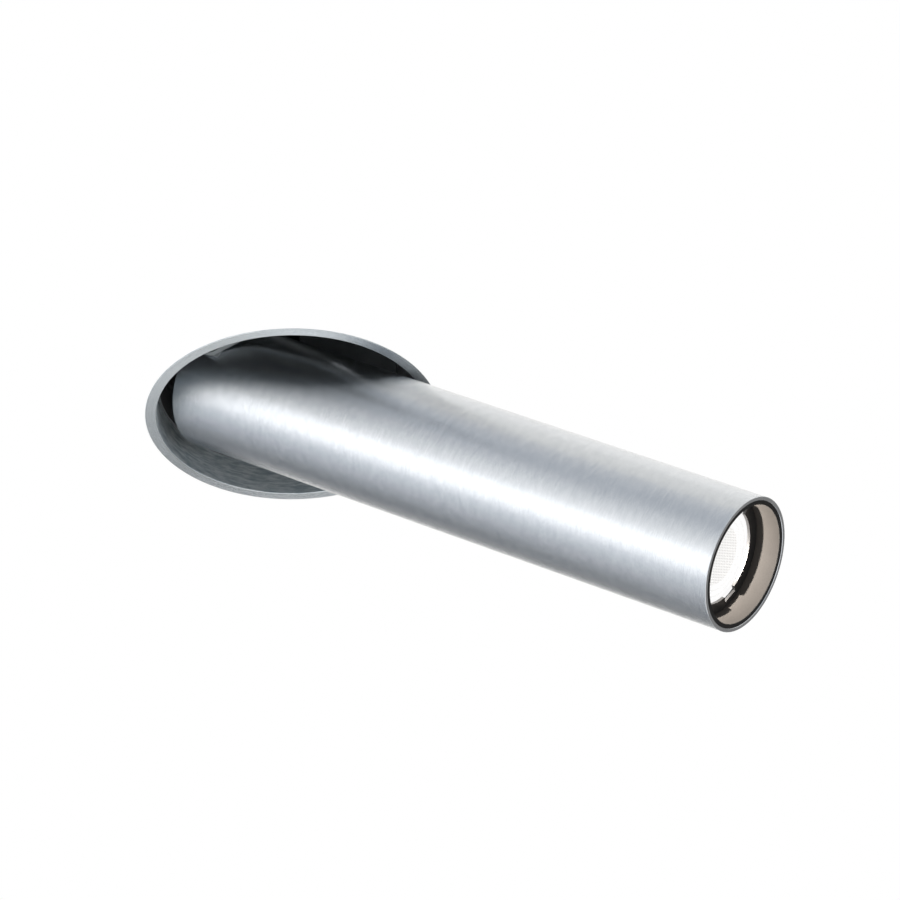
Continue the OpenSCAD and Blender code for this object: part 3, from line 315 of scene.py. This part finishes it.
def fibrePaper():
    # pressed fibre: short felted hairs in the plane of the washer
    f = Finish("fibrePaper", {"Specular IOR Level": 0.3})
    hairs = f.noise(f.turned(size=(0.002, 0.0004, 0.0005)), 1, 4, 0.7, 1.2)
    others = f.noise(f.turned(turn=(0, 0, 1.1), size=(0.0022, 0.0004, 0.0005)), 1, 4, 0.7, 1.2)
    f.feed("Base Color", f.mix(hairs * others * 2, (0.16, 0.10, 0.055), (0.36, 0.26, 0.165)))
    f.feed("Roughness", 0.7 + hairs * 0.2)
    f.bump(hairs + others, 0.00002)
    return f.material


# The painted shade on the front edge, in black, starts at edgeFrom behind the lamp's front and is full at
# edgeFull
snootLook = {"deep": (0.033, 0.0295, 0.0265), "light": (0.062, 0.056, 0.0505), "edge": (0.012, 0.012, 0.012),
             "edgeFrom": 0.0007, "edgeFull": 0.0004, "peel": 1150, "clouds": 120, "rough": 0.62,
             "depth": 0.00005}


def snootPaint():
    # textured paint, brownish where the light falls, with painted shade in black on the front edge
    f = Finish("snootPaint", {"Specular IOR Level": 0.25})
    place = f.node("ShaderNodeSeparateXYZ", None, {0: f.turned(lampAim, lampRotation)})
    along = place.part("Z")
    peel = f.noise(f.coords, snootLook["peel"], 3, 0.55)
    clouds = f.noise(f.coords, snootLook["clouds"], 2, 0.5)
    wall = f.mix(peel * 0.65 + clouds * 0.35, snootLook["deep"], snootLook["light"])
    # painted shade: the front edge is made black where the lamp's light does not reach
    edge = f.node("ShaderNodeMapRange", None, {0: along, 1: lamp["front"] - snootLook["edgeFrom"],
                                               2: lamp["front"] - snootLook["edgeFull"]})
    f.feed("Base Color", f.mix(edge, wall, snootLook["edge"]))
    f.feed("Roughness", snootLook["rough"] + peel * 0.16)
    f.bump(peel, snootLook["depth"])
    return f.material


# Each dot is painted facet shade. A dot's radius is dot in pitches, and its darkest middle is core of that;
# rings lie outside the zone
lens = {"pitch": 0.0016, "glow": 0.84, "dot": 0.30, "core": 0.55, "zone": 0.0150, "zoneEdge": 0.001,
        "rings": 95}


def litOptic():
    # moulded optic with the lamp on: a darker dot of painted facet shade in each six-sided lenslet, and a
    # paler zone round them
    f = Finish("litOptic", {"Roughness": 0.35, "Specular IOR Level": 0.2,
                            "Emission Strength": lens["glow"]})
    flat = f.turned(lampAim, lampRotation)
    place = f.node("ShaderNodeSeparateXYZ", None, {0: flat})
    x, y = place.part("X"), place.part("Y")
    radius = (x * x + y * y) ** 0.5
    row = lens["pitch"] * math.sqrt(3)

    def toCentre(shift):
        # distance to the nearest lenslet's centre, in pitches, over every second row
        across = (x / lens["pitch"] + shift).fract() - 0.5
        down = ((y / row + shift).fract() - 0.5) * math.sqrt(3)
        return (across * across + down * down) ** 0.5
    nearest = toCentre(0.5).least(toCentre(0.0))
    # painted facet shade: a darker dot in each lenslet's middle, in the glow and in the base colour
    facetShade = f.ramp(nearest, [(lens["dot"] * lens["core"], 0.0), (lens["dot"], 1.0)])
    zone = f.node("ShaderNodeMapRange", {"interpolation_type": "SMOOTHSTEP"},
                  {0: radius, 1: lens["zone"] - lens["zoneEdge"], 2: lens["zone"] + lens["zoneEdge"]})
    rings = f.node("ShaderNodeTexWave", {"wave_type": "RINGS", "rings_direction": "Z"},
                   {"Vector": flat, "Scale": lens["rings"], "Distortion": 0.3})
    ringLine = f.ramp(rings, [(0.0, 0.0), (0.8, 0.0), (1.0, 1.0)])
    inner = f.mix(facetShade, (0.76, 0.745, 0.73), (1.0, 0.995, 0.985))
    outer = f.mix(ringLine, (1.10, 1.10, 1.10), (0.97, 0.965, 0.96))
    f.feed("Emission Color", f.mix(zone, inner, outer))
    f.feed("Base Color", f.mix(facetShade, (0.07, 0.07, 0.07), (0.10, 0.10, 0.098)))
    return f.material


ringMetal, tubeMetal = brushedRing(), brushedTube()
canPaint = powderCoat("canPaint", (0.014, 0.0145, 0.015), (0.028, 0.029, 0.031))
skirtPaint = powderCoat("skirtPaint", (0.09, 0.095, 0.10), (0.15, 0.157, 0.162))
yokePaint = powderCoat("yokePaint", (0.22, 0.243, 0.252), (0.36, 0.385, 0.395), 0.0007, 0.00008, 0.5)
zinc = plated("zincPlate", (0.52, 0.53, 0.55), (0.72, 0.73, 0.73), 0.28)
springSteel = plated("springSteel", (0.50, 0.51, 0.52), (0.66, 0.66, 0.67), 0.22, 300.0)
castBox = castMetal("castBox", (0.42, 0.435, 0.45), (0.56, 0.57, 0.58))
finMetal = castMetal("finMetal", (0.50, 0.52, 0.54), (0.66, 0.67, 0.69), 0.0006, 0.38)
blackAnodised = castMetal("blackAnodised", (0.03, 0.031, 0.033), (0.06, 0.062, 0.066), 0.0005, 0.42, 0.8)
bronze = plated("bronze", (0.50, 0.33, 0.14), (0.68, 0.48, 0.24), 0.3, 160.0)
blackPlastic = moulded("blackPlastic", (0.010, 0.010, 0.010), (0.020, 0.020, 0.021))
whitePlastic = moulded("whitePlastic", (0.70, 0.70, 0.675), (0.80, 0.80, 0.78), 0.35)
nylon = moulded("nylon", (0.70, 0.66, 0.56), (0.82, 0.79, 0.70), 0.45)
blackRubber = rubber("blackRubber", (0.012, 0.012, 0.013), (0.030, 0.030, 0.032))
foam = rubber("gasketFoam", (0.020, 0.020, 0.022), (0.045, 0.045, 0.048), 0.9, 0.0009, 0.0001)
lensLit = litOptic()
solderMask = moulded("solderMask", (0.72, 0.72, 0.67), (0.82, 0.82, 0.78), 0.3)

finishes = {
    "trim_ring": ringMetal, "lamp_tube": tubeMetal, "soffit_gasket": foam,
    "recess_can": canPaint, "can_skirt": skirtPaint, "can_lid": canPaint,
    "junction_box": castBox, "junction_lid": castBox,
    "spindle_bush": bronze, "terminal_block": whitePlastic, "pan_washer": fibrePaper(),
    "gland_body": blackPlastic, "gland_nut": blackPlastic, "lead_gland": blackPlastic,
    "gland_seal": blackRubber, "rear_seal": blackRubber, "snoot_seal": blackRubber,
    "lens_seal": blackRubber, "rear_cap": blackAnodised, "heat_sink": finMetal,
    "driver_tray": zinc, "led_driver": whitePlastic,
    "led_board": solderMask, "led_holder": whitePlastic, "optic_lens": lensLit,
    "lens_holder": blackPlastic, "snoot": snootPaint(), "tilt_washers": nylon}
for name in ("turntable", "cheek_left", "cheek_right", "tilt_arm_left", "tilt_arm_right"):
    finishes[name] = yokePaint
for number in "123":
    finishes["clip_spring_" + number] = springSteel
    finishes["clip_arm_" + number] = springSteel
    finishes["clip_bracket_" + number] = zinc
    finishes["clip_pad_" + number] = blackRubber
for name, piece in nodes.items():
    piece.data.materials.clear()
    piece.data.materials.append(finishes.get(name, zinc))
nodes["optic_lens"].visible_shadow = False
print("finishes on", len(nodes), "nodes")

# pieces made here

facing = 0.9  # a face looks along z when its normal's z is above this


def clean():
    if bpy.context.object and bpy.context.object.mode != "OBJECT":
        bpy.ops.object.mode_set(mode="OBJECT")
    bpy.ops.object.select_all(action="DESELECT")


def choose(piece, test):
    # selects the faces whose centre and normal pass the test, and opens edit mode on them
    clean()
    bpy.context.view_layer.objects.active = piece
    piece.select_set(True)
    bpy.ops.object.mode_set(mode="EDIT")
    bpy.ops.mesh.select_mode(type="FACE")
    bpy.ops.mesh.select_all(action="DESELECT")
    bpy.ops.object.mode_set(mode="OBJECT")
    for face in piece.data.polygons:
        face.select = bool(test(face.center, face.normal))
    bpy.ops.object.mode_set(mode="EDIT")


def settle(piece, name, finish, matrix, body):
    # the piece's place goes into its mesh, then it gets its finish and its body
    clean()
    piece.name = piece.data.name = name
    piece.data.transform(matrix)
    piece.matrix_world = Matrix()
    piece.data.materials.clear()
    piece.data.materials.append(finish)
    piece.data.update()
    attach(piece, body)
    return piece


def smoothed(piece, angle=0.7):
    clean()
    bpy.context.view_layer.objects.active = piece
    piece.select_set(True)
    bpy.ops.object.shade_smooth_by_angle(angle=angle)


def modified(piece, kind, settings):
    clean()
    bpy.context.view_layer.objects.active = piece
    made = piece.modifiers.new(kind.title(), kind)
    for name, value in settings.items():
        setattr(made, name, value)
    bpy.ops.object.modifier_apply(modifier=made.name)


# The wound spring on each clip pin, about the pin's axis, and the leg that swings with the arm.
# turn is the coil's whole turn and drop is how far the leg leans down, both in degrees
clipSpring = {"pinX": 0.06953268, "pinZ": 0.070, "radius": 0.0030, "wire": 0.00088, "pitch": 0.0015,
              "turn": 1945.8, "stepsPerTurn": 26, "sides": 10, "legBends": (0.0008, 0.0036, 0.0156),
              "legAside": 0.0040, "drop": 55.8, "bevel": 0.00018, "angles": (60, 180, 300)}


def addClipSprings():
    c = clipSpring
    half = c["pitch"] * c["turn"] / 720
    endTurn = math.radians(180 - c["turn"])
    endAt = (c["radius"] * math.cos(endTurn), half, c["radius"] * math.sin(endTurn))
    for number, about in enumerate(c["angles"], 1):
        place = Matrix.Rotation(math.radians(about), 4, "Z") @ Matrix.Translation((c["pinX"], 0, c["pinZ"]))
        clean()
        bpy.ops.mesh.primitive_circle_add(vertices=c["sides"], radius=c["wire"] / 2,
                                          location=(-c["radius"], -half, 0))
        coil = bpy.context.object
        bpy.ops.object.transform_apply(location=True, rotation=True, scale=True)
        modified(coil, "SCREW", {"axis": "Y", "angle": math.radians(c["turn"]), "screw_offset": 2 * half,
                                 "steps": round(c["turn"] / 360 * c["stepsPerTurn"]),
                                 "use_merge_vertices": False})
        bpy.ops.object.select_all(action="DESELECT")
        coil.select_set(True)
        bpy.ops.object.mode_set(mode="EDIT")
        bpy.ops.mesh.select_mode(type="EDGE")
        bpy.ops.mesh.select_all(action="DESELECT")
        bpy.ops.mesh.select_non_manifold()
        bpy.ops.mesh.edge_face_add()
        bpy.ops.object.mode_set(mode="OBJECT")
        settle(coil, "spring_coil_%d" % number, springSteel, place, "housing")
        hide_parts("clip_spring_%d" % number)
        smoothed(coil)
        clean()
        bpy.ops.mesh.primitive_cylinder_add(vertices=c["sides"], radius=c["wire"] / 2,
                                            depth=c["legBends"][0], location=(0, 0, c["legBends"][0] / 2))
        leg = bpy.context.object
        bpy.ops.object.transform_apply(location=True, rotation=True, scale=True)
        choose(leg, lambda centre, normal: normal.z > facing)
        for side, onward in ((-c["legAside"], c["legBends"][1]), (0, c["legBends"][2])):
            bpy.ops.mesh.extrude_region_move(TRANSFORM_OT_translate={"value": (0, side, onward)})
        bpy.ops.object.mode_set(mode="OBJECT")
        choose(leg, lambda centre, normal: abs(normal.z) > facing)
        bpy.ops.mesh.bevel(offset=c["bevel"], segments=2, affect="EDGES")
        bpy.ops.object.mode_set(mode="OBJECT")
        lie = Matrix.Translation(endAt) @ Matrix.Rotation(math.radians(90 + c["drop"]), 4, "Y")
        settle(leg, "spring_leg_%d" % number, springSteel, place @ lie, "clip_%d" % number)
        smoothed(leg)


# Each six-sided dome fills the share cover of its cell, and each inset has a width and a rise. Its base's
# middle lies lift times height above the lens's face. Domes within margin pitches of radius are left out
lensFacets = {"pitch": lens["pitch"], "height": 0.00010, "insets": ((0.00016, 0.00005), (0.00020, 0.00002)),
              "radius": 0.0246, "cover": 0.98, "lift": 0.3, "margin": 0.6}


def addLensFacets():
    # close rows of small six-sided domes on the lens's face
    c = lensFacets
    aim, back = Vector(lampAim), lampTurn.transposed()
    faceAt = max((back @ (v.co - aim)).z for v in nodes["optic_lens"].data.vertices)
    row = c["pitch"] * math.sqrt(3)
    clean()
    bpy.ops.mesh.primitive_cylinder_add(vertices=6, radius=c["pitch"] / math.sqrt(3) * c["cover"],
                                        depth=c["height"], end_fill_type="NGON", location=(0, 0, 0))
    facets = bpy.context.object
    for thickness, depth in c["insets"]:
        topAt = max(v.co.z for v in facets.data.vertices)
        choose(facets, lambda centre, normal: normal.z > facing and abs(centre.z - topAt) < 1e-6)
        bpy.ops.mesh.inset(thickness=thickness, depth=depth)
        bpy.ops.object.mode_set(mode="OBJECT")

    def repeated(count, step):
        modified(facets, "ARRAY", {"count": count, "use_relative_offset": False, "use_constant_offset": True,
                                   "constant_offset_displace": step})
    across = math.ceil(2 * c["radius"] / c["pitch"]) + 1
    down = math.ceil(2 * c["radius"] / row) + 1
    repeated(2, (c["pitch"] / 2, row / 2, 0))
    repeated(across, (c["pitch"], 0, 0))
    repeated(down, (0, row, 0))
    facets.data.transform(Matrix.Translation((-across // 2 * c["pitch"], -down // 2 * row, 0)))
    reach = c["radius"] - c["pitch"] * c["margin"]
    choose(facets, lambda centre, normal: math.hypot(centre.x, centre.y) > reach)
    bpy.ops.mesh.select_linked()
    bpy.ops.mesh.delete(type="FACE")
    bpy.ops.object.mode_set(mode="OBJECT")
    lift = Matrix.Translation((0, 0, faceAt + c["height"] * c["lift"]))
    place = Matrix.Translation(lampAim) @ lampTurn.to_4x4() @ lift
    settle(facets, "lens_facets", lensLit, place, "lamp")
    facets.visible_shadow = False
    print("lens facets", len(facets.data.polygons))


addClipSprings()
addLensFacets()
print("springs and lens facets made")

# camera, seen from below at the photograph's angle

view = {"at": (0.68971, -1.72649, -1.32993), "azimuth": 19.226, "rise": 35.052, "roll": -1.798,
        "lens": 172.92, "sensor": 36, "far": 100}
azimuth, rise, roll = [math.radians(view[k]) for k in ("azimuth", "rise", "roll")]
level = Vector((math.cos(azimuth), math.sin(azimuth), 0))
ahead = Vector((-math.sin(azimuth) * math.cos(rise), math.cos(azimuth) * math.cos(rise), math.sin(rise)))
right = math.cos(roll) * level + math.sin(roll) * level.cross(ahead)
up = right.cross(ahead)
cameraData = bpy.data.cameras.new("camera")
cameraData.lens = view["lens"]
cameraData.sensor_width = view["sensor"]
cameraData.clip_end = view["far"]
camera = bpy.data.objects.new("camera", cameraData)
camera.matrix_world = Matrix.Translation(view["at"]) @ Matrix((right, up, -ahead)).transposed().to_4x4()
bpy.context.scene.collection.objects.link(camera)
bpy.context.scene.camera = camera
print("camera set")

# soffit, floor and world

# The lifts are how brightly the soffit and the floor glow to the camera and in reflections
stage = {"soffit": 0.7, "soffitZ": -0.0007, "hole": 0.0745, "floor": 4.0, "floorZ": -4.6,
         "white": (0.8, 0.8, 0.8), "soffitLift": 1.0, "floorLift": 0.45}


def stageFinish(name, colour, lift, oneSided):
    # white to the camera and in reflections; the soffit has no back, so the housing shows from above
    f = Finish(name)
    path = f.node("ShaderNodeLightPath", out="Is Camera Ray")
    seen = path.most(path.part("Is Glossy Ray").most(path.part("Is Transmission Ray")))
    plain = f.node("ShaderNodeBsdfDiffuse", None, {"Color": (*colour, 1)})
    glow = f.node("ShaderNodeEmission", None, {"Color": (1, 1, 1, 1), "Strength": lift})
    both = f.node("ShaderNodeAddShader", None, {0: plain, 1: glow})
    final = f.node("ShaderNodeMixShader", None, {0: seen, 1: plain, 2: glow if oneSided else both})
    if oneSided:
        clear = f.node("ShaderNodeBsdfTransparent")
        away = 1 - (1 - f.node("ShaderNodeNewGeometry", out="Backfacing")) * path
        final = f.node("ShaderNodeMixShader", None, {0: away, 1: final, 2: clear})
    f.node("ShaderNodeOutputMaterial", None, {0: final})
    return f.material


def addStage():
    bpy.ops.object.select_all(action="DESELECT")
    bpy.ops.mesh.primitive_circle_add(vertices=128, radius=stage["soffit"], fill_type="NOTHING",
                                      location=(0, 0, stage["soffitZ"]))
    soffit = bpy.context.object
    soffit.name = "soffit"
    bpy.ops.object.mode_set(mode="EDIT")
    bpy.ops.mesh.select_mode(type="EDGE")
    bpy.ops.mesh.select_all(action="SELECT")
    bpy.ops.mesh.extrude_region_move()
    share = stage["hole"] / stage["soffit"]
    bpy.ops.transform.resize(value=(share, share, 1), center_override=(0, 0, 0))
    bpy.ops.mesh.select_all(action="SELECT")
    bpy.ops.mesh.normals_make_consistent(inside=False)
    bpy.ops.object.mode_set(mode="OBJECT")
    if soffit.data.polygons[0].normal.z > 0:
        soffit.data.flip_normals()
    soffit.data.materials.append(stageFinish("soffitWhite", stage["white"], stage["soffitLift"], True))
    bpy.ops.mesh.primitive_plane_add(size=2 * stage["floor"], location=(0, 0, stage["floorZ"]))
    floor = bpy.context.object
    floor.name = "floor"
    floor.data.materials.append(stageFinish("floorPale", stage["white"], stage["floorLift"], False))


# The studio round the lamp's axis: a warm panel overhead, a cool side wall, the white key strip, a dark
# gap low down and a warm panel behind. Each edge is a share of a turn, a brightness and a tint; a share of 0
# is above the lamp, 0.25 the camera's side, 0.5 below and 0.75 behind
tints = {"warm": (1.00, 0.98, 0.95), "white": (1.00, 0.99, 0.98), "cool": (0.92, 0.96, 1.02)}
panels = [(0.000, 0.92, "warm"), (0.088, 0.92, "warm"), (0.095, 0.70, "cool"), (0.180, 0.62, "cool"),
          (0.310, 1.25, "white"), (0.340, 1.80, "white"), (0.410, 1.90, "white"), (0.450, 1.00, "cool"),
          (0.600, 0.24, "cool"), (0.700, 0.26, "cool"), (0.740, 1.20, "warm"), (0.900, 1.20, "warm")]
# Soft spots on it, later ones over earlier: direction, cosines where each starts and is full, colour
spots = [((-0.302, 0.755, -0.582), 0.90, 0.97, (0.60, 0.61, 0.62)),
         ((-0.190, 0.950, -0.236), 0.955, 0.985, (1.60, 1.59, 1.58)),
         ((-0.130, 0.440, -0.888), 0.915, 0.970, (0.06, 0.07, 0.08)),
         ((-0.392, 0.910, -0.135), 0.930, 0.975, (0.06, 0.07, 0.08)),
         ((-0.385, 0.440, -0.810), 0.955, 0.985, (1.90, 1.89, 1.88)),
         ((0.653, 0.755, -0.055), 0.55, 0.86, (0.29, 0.28, 0.27))]
brightest = 2.0  # the world's strength; the colours above are divided by it


def addWorld():
    world = bpy.data.worlds.new("studio")
    bpy.context.scene.world = world
    world.use_nodes = True
    f = Finish("studio", tree=world.node_tree)
    way = f.node("ShaderNodeTexCoord", out="Generated")
    about = f.node("ShaderNodeMapping", {"vector_type": "TEXTURE"},
                   {"Vector": way, "Rotation": lampRotation})
    turn = f.node("ShaderNodeTexGradient", {"gradient_type": "RADIAL"}, {0: about}, out="Fac")
    edges = []
    for at, bright, tint in panels:
        edges.append((at, tuple(c * bright / brightest for c in tints[tint]) + (1,)))
    sky = f.ramp(turn, edges)
    for centre, start, full, colour in spots:
        near = f.node("ShaderNodeVectorMath", {"operation": "DOT_PRODUCT"},
                      {0: way, 1: Vector(centre).normalized()}, out="Value")
        share = f.node("ShaderNodeMapRange", {"interpolation_type": "SMOOTHSTEP"},
                       {0: near, 1: start, 2: full})
        sky = f.mix(share, sky, tuple(c / brightest for c in colour))
    path = f.node("ShaderNodeLightPath", out="Is Camera Ray")
    plain = f.node("ShaderNodeBackground", None, {"Color": sky, "Strength": brightest})
    white = f.node("ShaderNodeBackground", None, {"Color": (1, 1, 1, 1), "Strength": 1.0})
    final = f.node("ShaderNodeMixShader", None, {0: path, 1: plain, 2: white})
    f.node("ShaderNodeOutputWorld", None, {0: final})


# The lamp's own light, behind the holder's place on the axis
lampGlow = {"energy": 0.40, "size": 0.0016, "behind": 0.017, "colour": (1.0, 0.935, 0.865)}


def addLamps():
    data = bpy.data.lights.new("lampGlow", "POINT")
    data.energy = lampGlow["energy"]
    data.shadow_soft_size = lampGlow["size"]
    data.color = lampGlow["colour"]
    glow = bpy.data.objects.new("lampGlow", data)
    glow.location = alongLamp(lamp["holder"] - lampGlow["behind"])
    glow.visible_camera = False
    bpy.context.scene.collection.objects.link(glow)
    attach(glow, "lamp")


addStage()
addWorld()
addLamps()
bpy.context.scene.view_settings.view_transform = "Standard"
print("stage, world and lamps set")
